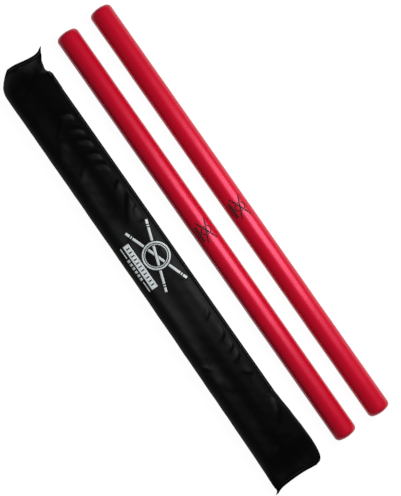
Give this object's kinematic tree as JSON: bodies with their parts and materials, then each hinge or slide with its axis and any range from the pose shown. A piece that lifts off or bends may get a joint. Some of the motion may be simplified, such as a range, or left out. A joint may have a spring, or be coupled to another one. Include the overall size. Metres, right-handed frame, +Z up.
{
  "type": "focus training sticks",
  "caption": "Round foam-covered training sticks on stiff tube cores, lying beside the long zipped carry bag that holds them side by side.",
  "frame": {"origin": "on the floor under the middle of the whole set's box", "axes": "+X along the sticks and the bag, towards the end of the bag without the zip slider; +Y from the bag across to the sticks; +Z up from the floor"},
  "size_m": [0.7226, 0.2046, 0.0378],
  "materials": {
    "red_foam": "satin",
    "white_pipe": "satin",
    "black_plastic": "satin",
    "black_nylon": "satin",
    "zip_tape": "matte",
    "zip_nylon": "satin",
    "zip_metal": "satin"
  },
  "bodies": {
    "bag": {"bag_front_panel": "black_nylon", "bag_back_panel": "black_nylon", "zip_tape_front": "zip_tape", "zip_tape_back": "zip_tape", "zip_coil_front": "zip_nylon", "zip_coil_back": "zip_nylon", "zip_top_stop_front": "zip_metal", "zip_top_stop_back": "zip_metal", "zip_bottom_stop": "zip_metal"},
    "zip_slider": {"zip_slider": "zip_metal"},
    "zip_pull": {"zip_pull_tab": "zip_metal"},
    "inner_stick": {"inner_stick_foam_sleeve": "red_foam", "inner_stick_core_tube": "white_pipe", "inner_stick_core_cap_1": "black_plastic", "inner_stick_core_cap_2": "black_plastic", "inner_stick_end_plug_1": "red_foam", "inner_stick_end_plug_2": "red_foam"},
    "outer_stick": {"outer_stick_foam_sleeve": "red_foam", "outer_stick_core_tube": "white_pipe", "outer_stick_core_cap_1": "black_plastic", "outer_stick_core_cap_2": "black_plastic", "outer_stick_end_plug_1": "red_foam", "outer_stick_end_plug_2": "red_foam"}
  },
  "joints": [
    {"name": "inner_stick_lift", "type": "slide", "parent": "bag", "child": "inner_stick", "axis": [0, 0, 1], "range_m": [0, 0.1]},
    {"name": "outer_stick_lift", "type": "slide", "parent": "bag", "child": "outer_stick", "axis": [0, 0, 1], "range_m": [0, 0.1]},
    {"name": "zip_slide", "type": "slide", "parent": "bag", "child": "zip_slider", "axis": [1, 0, 0], "range_m": [0, 0.543]},
    {"name": "pull_swing", "type": "hinge", "parent": "zip_slider", "child": "zip_pull", "pos_m": [-0.3168, -0.02362, 0.02942], "axis": [0, -0.5, 0.866], "range_deg": [0, 170]}
  ]
}
